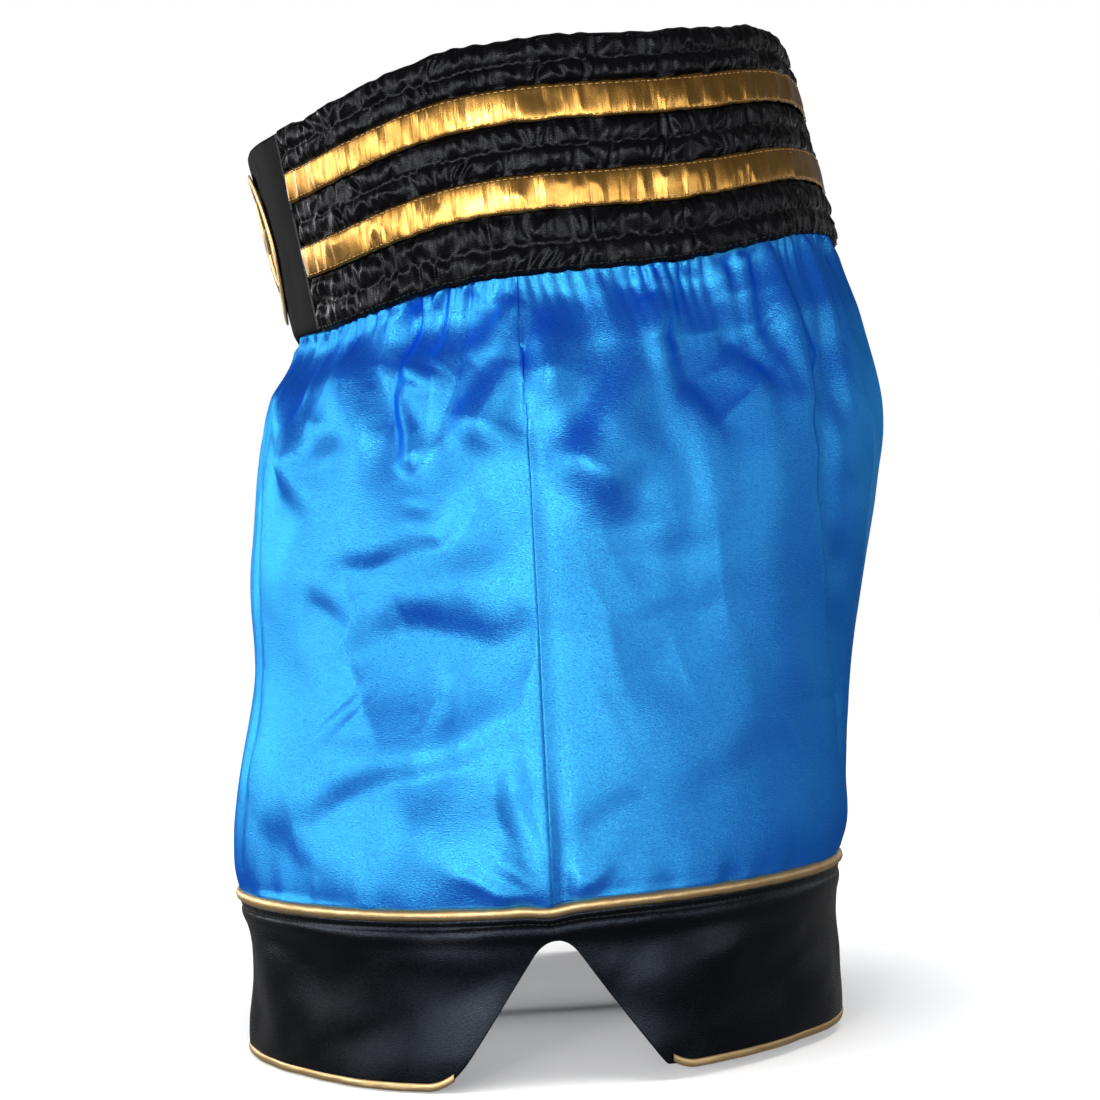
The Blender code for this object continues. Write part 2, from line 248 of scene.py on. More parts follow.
def addMesh(name, points, faces, material, uv=None, slot=None, replaces=(), thick=0.0):
    # arrays of points and faces become one smooth piece on the body, with its cloth coordinates
    mesh = bpy.data.meshes.new(name)
    mesh.vertices.add(len(points))
    mesh.vertices.foreach_set("co", np.ascontiguousarray(points, np.float32).ravel())
    mesh.loops.add(faces.size)
    mesh.loops.foreach_set("vertex_index", np.ascontiguousarray(faces, np.int32).ravel())
    mesh.polygons.add(len(faces))
    mesh.polygons.foreach_set("loop_start", np.arange(0, faces.size, faces.shape[1], dtype=np.int32))
    mesh.update(calc_edges=True)
    mesh.validate()
    if uv is not None:
        layer = mesh.uv_layers.new(name="cloth")
        layer.data.foreach_set("uv", np.ascontiguousarray(uv[faces], np.float32).ravel())
    mesh.shade_smooth()
    mesh.materials.append(material)
    piece = addObject(name, mesh)
    if thick:
        wall = piece.modifiers.new("thickness", "SOLIDIFY")
        wall.thickness, wall.offset = thick, 0.0
    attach(piece, body)
    if replaces:
        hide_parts(*replaces)
    return piece


def gridFaces(rows, columns, closeRows=False, closeColumns=False):
    # quads of a grid, counter-clockwise seen from outside where columns run with the angle and rows up
    index = np.arange(rows * columns).reshape(rows, columns)
    if closeRows:
        index = np.concatenate([index, index[:1]])
    if closeColumns:
        index = np.concatenate([index, index[:, :1]], 1)
    return np.stack([index[:-1, :-1], index[:-1, 1:], index[1:, 1:], index[1:, :-1]], -1).reshape(-1, 4)


def addGrid(name, points, uv, material, **more):
    rows, columns = points.shape[:2]
    closing = {k: more.pop(k) for k in ("closeRows", "closeColumns") if k in more}
    return addMesh(name, points.reshape(-1, 3), gridFaces(rows, columns, **closing), material,
                   uv.reshape(-1, 2), **more)


def clothUv(across, up):
    # cloth coordinates in decimetres
    return np.stack(np.broadcast_arrays(across, up), -1) * 10


def circle(count):
    return np.linspace(0, 2 * math.pi, count + 1)[:-1]


def split(quads):
    return np.concatenate([quads[:, [0, 1, 2]], quads[:, [0, 2, 3]]])


def normalsOf(surface, first, second, step=0.0006, turnStep=0.005):
    # unit normals of a surface of two parameters, from central differences
    along = surface(first, second + turnStep) - surface(first, second - turnStep)
    up = surface(first + step, second) - surface(first - step, second)
    normal = np.cross(along, up)
    return normal / np.maximum(np.linalg.norm(normal, axis=-1, keepdims=True), 1e-12)


def addStitches(name, path, normal, material, length, width, gap, slot=None, lean=0.0):
    # thread dashes on a path: each is a spindle of two tips and two rings of six, half sunk
    high = width * 0.8
    run = runOf(path)
    middles = np.arange(length / 2, run[-1] - length / 2, length + gap)
    centre, ahead, behind, out = [
        np.stack([np.interp(middles + shift * length, run, values[:, k]) for k in range(3)], -1)
        for shift, values in ((0, path), (1 / 3, path), (-1 / 3, path), (0, normal))]
    out /= np.linalg.norm(out, axis=-1, keepdims=True)
    along = ahead - behind
    along /= np.linalg.norm(along, axis=-1, keepdims=True)
    side = np.cross(out, along)
    if lean:
        along = along * math.cos(lean) + side * math.sin(lean)
        side = np.cross(out, along)
    turn = circle(6)
    shape = [(-length / 2, 0, 0)]
    for place, size in ((-0.32, 0.8), (0.32, 0.8)):
        across, rise = size * width / 2, size * high / 2
        shape += [(place * length, math.cos(t) * across, math.sin(t) * rise) for t in turn]
    shape = np.array(shape + [(length / 2, 0, 0)])
    points = (centre[:, None] + along[:, None] * shape[:, :1] + side[:, None] * shape[:, 1:2]
              + out[:, None] * shape[:, 2:])
    ends = np.arange(6)
    nextEnds = (ends + 1) % 6
    zero, last = np.zeros(6, int), np.full(6, 13)
    faces = np.concatenate([np.stack([zero, nextEnds + 1, ends + 1], -1),
                            np.stack([ends + 1, nextEnds + 1, ends + 7], -1),
                            np.stack([nextEnds + 1, nextEnds + 7, ends + 7], -1),
                            np.stack([last, ends + 7, nextEnds + 7], -1)])
    faces = (faces[None] + 14 * np.arange(len(middles))[:, None, None]).reshape(-1, 3)
    return addMesh(name, points.reshape(-1, 3), faces, material, slot=slot)


# materials

def newMaterial(name, settings):
    material = bpy.data.materials.new(name)
    material.use_nodes = True
    shader = material.node_tree.nodes["Principled BSDF"]
    for key, value in settings.items():
        shader.inputs[key].default_value = value
    return material, material.node_tree, shader


def addNode(tree, kind, inputs):
    # a shader node whose inputs are linked to another node's output or set to a value
    made = tree.nodes.new("ShaderNode" + kind)
    if kind == "Mix":
        made.data_type = "RGBA"
    for key, value in inputs.items():
        if isinstance(value, bpy.types.NodeSocket):
            tree.links.new(value, made.inputs[key])
        else:
            made.inputs[key].default_value = value
    return made.outputs


def noiseNode(tree, coordinates, stretch, detail=3.0, rough=0.5, turn=0.0):
    # noise on the cloth's own coordinates, stretched by a scale across and up
    place = addNode(tree, "Mapping", {"Vector": coordinates, "Scale": (*stretch, 1),
                                      "Rotation": (0, 0, turn)})
    return addNode(tree, "TexNoise", {"Vector": place["Vector"], "Scale": 1.0, "Detail": detail,
                                      "Roughness": rough})["Fac"]


def remap(tree, value, low, high):
    # the middle of a noise, 0.3 to 0.7, spread over low to high
    return addNode(tree, "MapRange", {"Value": value, "From Min": 0.3, "From Max": 0.7, "To Min": low,
                                      "To Max": high})["Result"]


def mixColour(tree, factor, first, second):
    first, second = [(*c, 1.0) if isinstance(c, tuple) else c for c in (first, second)]
    return addNode(tree, "Mix", {"Factor": factor, 6: first, 7: second})[2]


def addBump(tree, shader, heights):
    # bumps laid over each other: (height output, distance in metres, strength)
    under = {}
    for height, distance, strength in heights:
        made = addNode(tree, "Bump", {"Height": height, "Distance": distance, "Strength": strength,
                                      **under})
        under = {"Normal": made["Normal"]}
    tree.links.new(under["Normal"], shader.inputs["Normal"])


# waves to the decimetre, across and up: weft floats about 1 mm long, slubs of some centimetres
weave = {
    "floats": (75.0, 190.0), "fine": (260.0, 420.0), "slubs": (1.6, 9.0), "cloud": (1.3, 1.1),
    "floatHeight": 0.00012, "fineHeight": 0.00006, "slubHeight": 0.0004,
}


def satin(name, light, deep, roughness, lustre, gloss, grain):
    # lustre is the index of refraction, and gloss the colour that the floats reflect
    material, tree, shader = newMaterial(name, {
        "IOR": lustre, "Specular IOR Level": 0.5 if lustre < 2 else 0.9, "Specular Tint": (*gloss, 1.0),
    })
    coordinates = addNode(tree, "TexCoord", {})["UV"]
    floats = noiseNode(tree, coordinates, weave["floats"], 2.0, 0.6)
    fine = noiseNode(tree, coordinates, weave["fine"], 1.0, 0.5)
    slubs = noiseNode(tree, coordinates, weave["slubs"], 4.0, 0.6)
    cloud = noiseNode(tree, coordinates, weave["cloud"], 2.0, 0.5, 0.4)
    both = mixColour(tree, remap(tree, floats, 0.0, 1.0), deep, light)
    worn = mixColour(tree, remap(tree, slubs, 0.0, 0.35), both, light)
    colour = mixColour(tree, remap(tree, cloud, 0.0, 0.22), worn, deep)
    tree.links.new(colour, shader.inputs["Base Color"])
    tree.links.new(remap(tree, floats, roughness - 0.05, roughness + 0.06), shader.inputs["Roughness"])
    addBump(tree, shader, [(floats, weave["floatHeight"] * grain, 0.5),
                           (fine, weave["fineHeight"] * grain, 0.4), (slubs, weave["slubHeight"], 0.12)])
    return material


def foil(name, light, deep, roughness, crinkle, bumpHeight, metallic=1.0, coat=0.0):
    # metallised film on cloth: crinkled across the tape, rubbed duller in patches
    material, tree, shader = newMaterial(name, {
        "Metallic": metallic, "Specular IOR Level": 0.6, "Coat Weight": coat, "Coat Roughness": 0.2,
    })
    coordinates = addNode(tree, "TexCoord", {})["UV"]
    folds = noiseNode(tree, coordinates, crinkle, 3.0, 0.6)
    grains = noiseNode(tree, coordinates, (150.0, 150.0), 2.0, 0.6)
    rubbed = noiseNode(tree, coordinates, (6.0, 8.0), 3.0, 0.55)
    both = mixColour(tree, remap(tree, rubbed, 0.0, 1.0), light, deep)
    colour = mixColour(tree, remap(tree, grains, 0.0, 0.35), both, deep)
    tree.links.new(colour, shader.inputs["Base Color"])
    tree.links.new(remap(tree, rubbed, roughness - 0.05, roughness + 0.1), shader.inputs["Roughness"])
    addBump(tree, shader, [(folds, bumpHeight, 0.6), (grains, 0.00005, 0.35)])
    return material


def thread(name, colour, dark, roughness, metallic, sheen):
    # twisted yarn: flecks from noise in the object's own space
    material, tree, shader = newMaterial(name, {"Metallic": metallic, "Sheen Weight": sheen})
    coordinates = addNode(tree, "TexCoord", {})["Object"]
    twist = noiseNode(tree, coordinates, (1400.0, 1400.0), 2.0, 0.5)
    both = mixColour(tree, remap(tree, twist, 0.0, 1.0), dark, colour)
    tree.links.new(both, shader.inputs["Base Color"])
    tree.links.new(remap(tree, twist, roughness - 0.08, roughness + 0.08), shader.inputs["Roughness"])
    addBump(tree, shader, [(twist, 0.00008, 0.5)])
    return material


looks = {
    "blueSatin": satin("blue_satin_cloth", (0.006, 0.062, 0.84), (0.003, 0.032, 0.60), 0.31, 3.0,
                       (0.075, 0.68, 1.0), 3.4),
    "blackSatin": satin("black_satin_cloth", (0.0024, 0.0024, 0.0032), (0.0012, 0.0012, 0.0018), 0.27, 1.31,
                        (0.9, 0.92, 1.0), 1.6),
    "hemSatin": satin("hem_satin_cloth", (0.0013, 0.0015, 0.0030), (0.0006, 0.0007, 0.0014), 0.27, 1.35,
                      (0.66, 0.78, 1.0), 1.4),
    "panelSatin": satin("front_panel_cloth", (0.003, 0.003, 0.004), (0.0014, 0.0014, 0.002), 0.6, 1.10,
                        (0.9, 0.9, 1.0), 1.6),
    "goldTape": foil("gold_foil_tape", (0.60, 0.33, 0.085), (0.36, 0.18, 0.04), 0.22, (26.0, 3.0), 0.0007),
    "goldCord": foil("gold_cord_cloth", (0.93, 0.69, 0.38), (0.72, 0.48, 0.22), 0.42, (60.0, 30.0),
                     0.00025),
    "goldThread": thread("gold_thread", (0.85, 0.58, 0.26), (0.5, 0.28, 0.09), 0.35, 0.85, 0.0),
    "blackThread": thread("black_thread", (0.008, 0.008, 0.010), (0.003, 0.003, 0.004), 0.5, 0.0, 0.1),
    "elastic": thread("elastic_webbing", (0.07, 0.07, 0.075), (0.02, 0.02, 0.022), 0.8, 0.0, 0.4),
}
print("materials ready")

# legs

legCloth = {
    "thick": 0.0005, "rows": 188, "columns": 226,
    # folds and pouches in millimetres, by distance from the side seam (the front is negative) and height
    # fold: its points, width, depth (negative for a ridge) and steep wall, which is 1 above or left of the
    # line, -1 below or right, 0 neither; lopsided is how much wider the gentle wall is
    "folds": (
        ((-40, 330), (-54, 304), 5.98, 4.2, -1), ((-2, 326), (-24, 302), 6.73, -3.64, 0),
        ((-12, 324), (-32, 298), 6.73, 3.36, 1), ((-48, 300), (-50, 290), 10.46, -3.08, 0),
        ((-66, 300), (-62, 278), (-52, 258), 9.27, 3.64, -1), ((-110, 262), (-80, 264), 8.97, 1.68, -1),
        ((-55, 241), (-42, 237), 2.39, 0.84, 1),
        ((-91, 209), (-62, 217), (-41, 219), (-29, 228), (-16, 239), 7.18, 4.2, 1),
        ((-86, 174), (-62, 183), (-38, 184), (-2, 179), 13.46, 8.96, 1),
        ((-117, 200), (-91, 190), 7.18, 3.36, 1),
        ((-120, 104), (-96, 112), (-60, 125), (-2, 139), 8.37, 4.76, 1),
        ((-49, 163), (-33, 162), 8.97, 1.96, 1), ((-93, 160), (-87, 153), 10.46, 1.68, 1),
        ((-18, 120), (-4, 123), 11.96, 3.36, 1), ((-150, 102), (-110, 84), 10.46, 3.64, 1),
        ((-36, 86), (-4, 77), 4.49, -2.24, 0), ((-22, 96), (-3, 81), 4.19, -1.68, 0),
        ((26, 92), (8, 79), 4.49, -1.68, 0),
        ((-163, 262), (-165, 202), (-169, 130), (-171, 76), 5.38, 1.68, 0),
        ((71, 334), (70, 308), (77, 288), (90, 273), 8.37, 7.84, -1),
        ((93, 326), (97, 307), (106, 298), (121, 291), 7.77, 6.72, -1),
        ((52, 324), (66, 296), 7.47, -4.48, 0), ((33, 224), (60, 232), 8.97, 1.96, 1),
        ((27, 207), (80, 217), 11.96, 3.08, 1), ((31, 180), (84, 193), 11.21, 2.52, 1),
        ((28, 156), (62, 171), 10.46, 2.24, 1), ((9, 90), (42, 117), 11.96, 3.08, 1),
        ((60, 106), (120, 136), 12.71, 2.24, 1),
        ((130, 338), (136, 325), (147, 303), (143, 263), (147, 223), (158, 183), (172, 136), 5.38, 5.6, -1),
    ),
    "lopsided": 0.957, "foldEnds": 0.3,
    # pouch: swells from its start to its end, then tucks back; start, end, width and swell
    "pouches": (
        ((-150, 312), (-121, 260), 15, 9.86), ((-70, 330), (-95, 276), 14, 8.84),
        ((-64, 300), (-53, 263), 5.5, 4.42), ((-10, 300), (-17, 272), 13, 5.78),
        ((17, 325), (10, 292), 13, 6.8), ((52, 306), (28, 254), 15.5, 10.54),
    ),
    # gathers under the waistband: wave length, height and how far down they reach
    "gathers": ((6.2, 1.4, 11), (15, 3, 26), (33, 5, 48)), "slant": 0.22,
    "wander": (0.0036, 0.0032), "waves": 0.0011, "ripples": 0.00014,
    "seamPucker": 0.0019, "lowSwell": 0.0056, "crossCalm": 0.012, "crossPull": 0.0011,
}


def gatherRelief(reach, drop, seed):
    # puckers that start at the waist seam and die out downwards: fine and short, then wide and long
    total = 0.0
    drift = reach + legCloth["slant"] * np.clip(drop, 0, 0.1) * np.where(reach < 0, 1.0, -1.0)
    for number, sizes in enumerate(legCloth["gathers"]):
        wave, size, length = [value * mm for value in sizes]
        warp = 0.9 * noise(drift / (wave * 2.3), drop / 0.03, seed + 10 + number)
        wavy = np.sin(2 * math.pi * drift / wave + 2.2 * warp + number)
        strength = 1.3 * (0.5 + 0.5 * noise(drift / (wave * 1.7), drop / 0.05, seed + 20 + number)) ** 1.7
        start = smoothStep(drop / (length * 0.22)) if number else smoothStep(drop / 0.001 + 1.0)
        total = total + size * wavy * strength * start * np.exp(-np.clip(drop, 0, 1) / length)
    return total


def foldRelief(reach, z, seed):
    # creases pressed in along lines that wander a little, and pouches that swell downwards
    total = 0.0
    across = (reach + legCloth["wander"][0] * noise(reach / 0.023, z / 0.016, seed + 4)) / mm
    level = (z + legCloth["wander"][1] * noise(reach / 0.018, z / 0.021, seed + 6)) / mm
    for *points, width, depth, steep in legCloth["folds"]:
        t, away, over = nearest(across, level, points)
        wide = width * (1 + legCloth["lopsided"] * abs(steep) * (1 - over * steep))
        taper = legCloth["foldEnds"] + (1 - legCloth["foldEnds"]) * np.sin(math.pi * t) ** 0.7
        total = total - depth * taper * bump(away, wide)
    for *points, width, swell in legCloth["pouches"]:
        t, away, _ = nearest(across, level, points)
        total = total + swell * t * bump(away, width * (0.6 + 0.4 * t))
    return total * mm


def legRelief(reach, z, drop, seed):
    # folds, gathers and a gentle unevenness, all as height along the normal
    low = np.clip(z - pipingZ, 0, 1)
    calm = smoothStep((z - pipingZ) / 0.02) * smoothStep(drop / 0.03)
    waves = legCloth["waves"] * noise(reach / 0.046, z / 0.036 + reach / 0.05, seed + 1)
    ripples = legCloth["ripples"] * noise(reach / 0.016 + z / 0.03, z / 0.014, seed + 2)
    total = gatherRelief(reach, drop, seed) + foldRelief(reach, z, seed) + calm * (waves + ripples)
    # the seam to the piping puckers the cloth, which swells out just above it
    pucker = legCloth["seamPucker"] * noise(reach / 0.010, z / 0.06, seed + 3) * np.exp(-low / 0.014)
    swell = legCloth["lowSwell"] * (1 - np.exp(-low / 0.014)) * bump(low, 0.055)
    return total * smoothStep(low / 0.006) + pucker * smoothStep(low / 0.003) + swell


def innerFade(angle):
    # 1 round the outside of a leg, 0 at the gusset, where front and back have to meet
    return smoothStep((math.pi - np.abs(angle) - legs["gussetHalf"] - 0.08) / 0.5)


# the piping's line hangs in front, rises at the back, kinks at the side seam and waves with the hem
piping = {
    "around": 12, "along": 900, "crease": 0.00012, "swell": 1.6,
    "hang": 0.0012, "rise": 0.0030, "kink": 0.0010, "kinkWide": 0.007, "wave": 0.0016,
}


def hemWave(reach, z, angle, seed):
    # slow waves of the whole hem, which the piping follows
    size = smoothStep((0.16 - z) / 0.12) * innerFade(angle)
    return piping["wave"] * noise(reach / 0.055 + 3.0, 0.5, seed + 5) * size


def pipingLift(reach, angle):
    # growing away from the side seam as one minus an exponential, with a bell curve for the kink
    hang = -piping["hang"] * (1 - np.exp(reach / 0.03))
    rise = piping["rise"] * (1 - np.exp(-reach / 0.035))
    kink = piping["kink"] * bump(reach, piping["kinkWide"])
    return (np.where(reach < 0, hang, rise) - kink) * innerFade(angle)


seeds = {"left": 100, "right": 200}


def raised(height, angle, relief):
    # a leg's surface moved out along its normal
    return legPoint(height, angle) + normalsOf(legPoint, height, angle) * relief[..., None]


panelBottom = pipingZ + pipingRadius * 1.15
hemTop = pipingZ - pipingRadius * 1.15
corner = math.pi - legs["gussetHalf"]


def legSurface(height, angle, seed):
    # the finished cloth of a leg at any height and angle, with the piping's line at the bottom
    reach = reachOf(height, angle)
    z = legPoint(height, angle)[..., 2]
    relief = legRelief(reach, z, waist["seamZ"] - height, seed) + hemWave(reach, z, angle, seed)
    points = raised(height, angle, relief)
    points[..., 2] += pipingLift(reach, angle) * smoothStep(1 - (height - panelBottom) / 0.05)
    return points, reach


# ridge and valley of the side seam: at the waist, and what the bottom adds
sideSeam = {
    "ridge": (0.0006, 0.0009), "ridgeFront": 0.011, "ridgeBack": 0.0035,
    "valley": (0.0004, 0.0028), "valleyPlace": 0.0055, "valleyWide": 0.0045,
    "lap": 0.0001, "lapWide": 0.0016,
    "overlap": 0.0007 / bandRadius,      # angle by which the front panel passes the seam
}


def seamShape(reach, height, part):
    # the front panel laps over the back one at the side seam: a pressed ridge with a valley behind it
    low = smoothStep(1 - (height - panelBottom) / 0.07)
    away = np.abs(reach)
    ridge, valley = [sideSeam[key][0] + sideSeam[key][1] * low for key in ("ridge", "valley")]
    if part == "front":
        lap = sideSeam["lap"] * bump(away, sideSeam["lapWide"])
        return lap + ridge * bump(away, sideSeam["ridgeFront"])
    valley = valley * bump(away - sideSeam["valleyPlace"], sideSeam["valleyWide"])
    return ridge * bump(away, sideSeam["ridgeBack"]) - valley


heights = np.linspace(panelBottom, waist["seamZ"] + legs["tuck"], legCloth["rows"])
innerLimit = np.minimum(trimAngle(heights), corner)
seamAngle = sideAngle(heights, np.full(heights.shape, legs["seamY"]))


def legPanel(part, side):
    # grid of (height, share of the way from the side seam to the inner seam)
    across = np.linspace(0, 1, legCloth["columns"])
    start = seamAngle[:, None]
    if part == "front":
        start = start + sideSeam["overlap"]
        angles = start + (-innerLimit[:, None] - start) * across[::-1]
    else:
        angles = start + (innerLimit[:, None] - start) * across
    height = np.broadcast_to(heights[:, None], angles.shape)
    points, reach = legSurface(height, angles, seeds[side])
    normal = normalsOf(legPoint, height, angles)
    edge = np.abs(np.abs(angles) - innerLimit[:, None]) * legRadius      # distance to the inner seams
    calm = smoothStep(edge / legCloth["crossCalm"])[..., None]
    flat = legPoint(height, angles)
    flat[..., 2] += pipingLift(reach, angles) * smoothStep(1 - (height - panelBottom) / 0.05)
    points = flat + (points - flat) * calm
    pull = seamShape(reach, height, part) - legCloth["crossPull"] * bump(edge, 0.0035)
    points = points + normal * pull[..., None]
    # above the fork the inner edge lies in the middle plane, where it meets the other leg
    inner = points[:, :1] if part == "front" else points[:, -1:]
    meeting = (innerLimit < corner)[:, None] * (inner[..., 0] + 0.0001)
    points[..., 0] -= meeting * smoothStep(1 - edge / legCloth["crossCalm"])
    uv = clothUv(reach, height)
    if side == "right":
        points = points[:, ::-1] * mirror
        uv = uv[:, ::-1]
    name = "%s_leg_cloth_%s" % (part, side)
    return addGrid(name, points, uv, looks["blueSatin"], slot="blue_satin", thick=legCloth["thick"],
                   replaces=["%s_panel_%s" % (part, side)])


panels = {(part, side): legPanel(part, side) for part in ("front", "back") for side in ("left", "right")}
print("leg panels made")

# crotch gusset: up the inner left leg, over the fork and down the inner right leg
gusset = {"rows": 60, "columns": 61, "overlap": 0.02, "tuck": 0.0006, "waves": 0.0004, "thick": 0.0005}
reachEnd = legs["gussetHalf"] + gusset["overlap"]
spread = np.linspace(-reachEnd, reachEnd, gusset["columns"])
gussetAngle = math.pi + spread
forkHeight = solve(lambda h: legPoint(h, gussetAngle)[..., 0],
                   np.full(spread.shape, legs["crotchZ"] - 0.003), np.full(spread.shape, 0.30))
climb = np.linspace(0, 1, gusset["rows"])[:, None]
gussetHeight = panelBottom + (forkHeight - panelBottom) * climb
gussetAngles = np.broadcast_to(gussetAngle, gussetHeight.shape)
leftHalf = legPoint(gussetHeight, gussetAngles)
inward = -normalsOf(legPoint, gussetHeight, gussetAngles)
fromEdge = (reachEnd - np.abs(spread)) * legRadius
waves = gusset["waves"] * noise(gussetHeight / 0.02, spread / 0.2, 31) * smoothStep((1 - climb) / 0.15)
tucked = gusset["tuck"] * bump(fromEdge, 0.006) + waves
leftHalf = leftHalf + inward * tucked[..., None]
leftHalf[-1, :, 0] = 0.0
rightHalf = leftHalf[::-1][1:] * mirror
points = np.concatenate([leftHalf, rightHalf])
gussetUp = runOf(points[:, gusset["columns"] // 2])
gussetUv = clothUv(spread[None] * legRadius, gussetUp[:, None])
gussetPiece = addGrid("crotch_gusset_cloth", points, gussetUv, looks["blueSatin"], slot="blue_satin",
                      thick=gusset["thick"], replaces=["crotch_gusset"])

# piping and hems

def pipingCentre(angle, seed):
    height = np.full(angle.shape, pipingZ)
    reach = reachOf(height, angle)
    points = raised(height, angle, hemWave(reach, height, angle, seed) + 0.0002)
    points[..., 2] += pipingLift(reach, angle)
    return points, reach


for side in ("left", "right"):
    # a tube: circle in the plane of the outward normal and up, carried round the leg
    angle = circle(piping["along"]) - math.pi
    centre, reach = pipingCentre(angle, seeds[side])
    out = normalsOf(legPoint, np.full(angle.shape, pipingZ), angle)
    up = np.cross(out, np.roll(centre, -1, 0) - np.roll(centre, 1, 0))
    up /= np.linalg.norm(up, axis=-1, keepdims=True)
    turn = circle(piping["around"])[:, None]
    creases = noise(reach[None] / 0.0035 + turn * 0.8, turn * 1.3, 41)
    radius = (pipingRadius * piping["swell"] + piping["crease"] * creases)[..., None]
    spokes = np.cos(turn)[..., None] * out[None] + np.sin(turn)[..., None] * up[None]
    tube = centre[None] + radius * spokes
    uv = clothUv(reach[None], turn * pipingRadius)
    if side == "right":
        tube, uv = tube[:, ::-1] * mirror, uv[:, ::-1]
    addGrid("piping_cord_" + side, tube, uv, looks["goldCord"], slot="gold_trim", closeRows=True,
            closeColumns=True, replaces=["leg_piping_" + side])

hem = {
    "thick": 0.0012, "rows": 56, "columns": 300,
    "ventHeight": 0.0673, "ventFront": 0.0435, "ventBack": 0.0490, "topDrop": 0.0069,
    "footRound": 0.009, "archHeight": 0.036, "archHalf": math.radians(62),
    "bindingHeight": 0.0036, "bindingThick": 0.0022, "stitchDrop": 0.0052, "rearLift": 0.0035,
    "groove": 0.0006, "rollAbove": 0.0004, "rollBelow": 0.0008, "softFolds": 0.0026, "smallFolds": 0.0004,
    "pucker": 0.00018, "inset": 0.0022, "stitch": (0.0021, 0.00045, 0.0007),    # length, width and gap
}


def ventEdge(offset):
    # height of the vent's edge over the hem: straight slopes with a rounded top and rounded feet
    width = np.where(offset < 0, hem["ventFront"], hem["ventBack"])
    away = np.abs(offset)
    slope = hem["ventHeight"] / width
    rounding = 2 * hem["topDrop"] / slope
    top = hem["ventHeight"] - slope * (rounding / 2 + away**2 / (2 * rounding))
    foot = slope * np.clip(width + hem["footRound"] - away, 0, None) ** 2 / (4 * hem["footRound"])
    low = np.where(away < rounding, top, hem["ventHeight"] - slope * away)
    return np.where(away > width - hem["footRound"], foot, low)


def hemFoot(angle, offset, part):
    # lowest line of a flap: squared cosine arch on the inner leg, and the back flap a little higher
    turn = np.clip((math.pi - np.abs(angle)) / hem["archHalf"], 0, 1)
    lift = hem["rearLift"] * smoothStep(offset / 0.03) if part == "back" else 0.0
    return hem["archHeight"] * np.cos(turn * math.pi / 2) ** 2 + lift


def hemAngles(part, first, nearCount, farCount):
    # angles round one half of a leg's hem, from a distance off the side seam to the inner leg
    sign = -1 if part == "front" else 1
    width = hem["ventFront"] if sign < 0 else hem["ventBack"]
    vent = np.linspace(first, width + hem["footRound"], nearCount)
    near = sideAngle(np.zeros(nearCount), legs["seamY"] + sign * vent)
    last = math.pi + 0.003
    return np.concatenate([near, near[-1] + (sign * last - near[-1]) * np.linspace(0, 1, farCount)[1:]])


def hemRelief(reach, height, angle, seed):
    # a roll above and below the line of topstitching, soft slanting sheen folds below it
    below = pipingZ - height
    line = -hem["groove"] * bump(below - hem["stitchDrop"], 0.0010)
    roll = hem["rollAbove"] * bump(below - 0.0034, 0.0012) + hem["rollBelow"] * bump(below - 0.0090, 0.0035)
    calm = smoothStep((below - 0.006) / 0.02)
    soft = hem["softFolds"] * noise(reach / 0.040 + height / 0.06, height / 0.026 - reach / 0.08, seed + 7)
    small = hem["smallFolds"] * noise(reach / 0.014 - height / 0.03, height / 0.016, seed + 8)
    pucker = hem["pucker"] * noise(reach / 0.0035, 0.0, seed + 9) * bump(below - hem["stitchDrop"], 0.003)
    inset = -hem["inset"] * smoothStep(below / 0.02) * smoothStep((-reach - 0.09) / 0.05)
    return line + roll + pucker + innerFade(angle) * (calm * (soft + small) + inset)


def hemPoint(height, angle, seed, extra=0.0):
    reach = reachOf(np.clip(height, 0, 1), angle)
    relief = hemRelief(reach, height, angle, seed) + hemWave(reach, height, angle, seed) + extra
    points = raised(height, angle, relief)
    points[..., 2] += pipingLift(reach, angle) * smoothStep(1 - (pipingZ - height) / 0.035)
    return points, reach


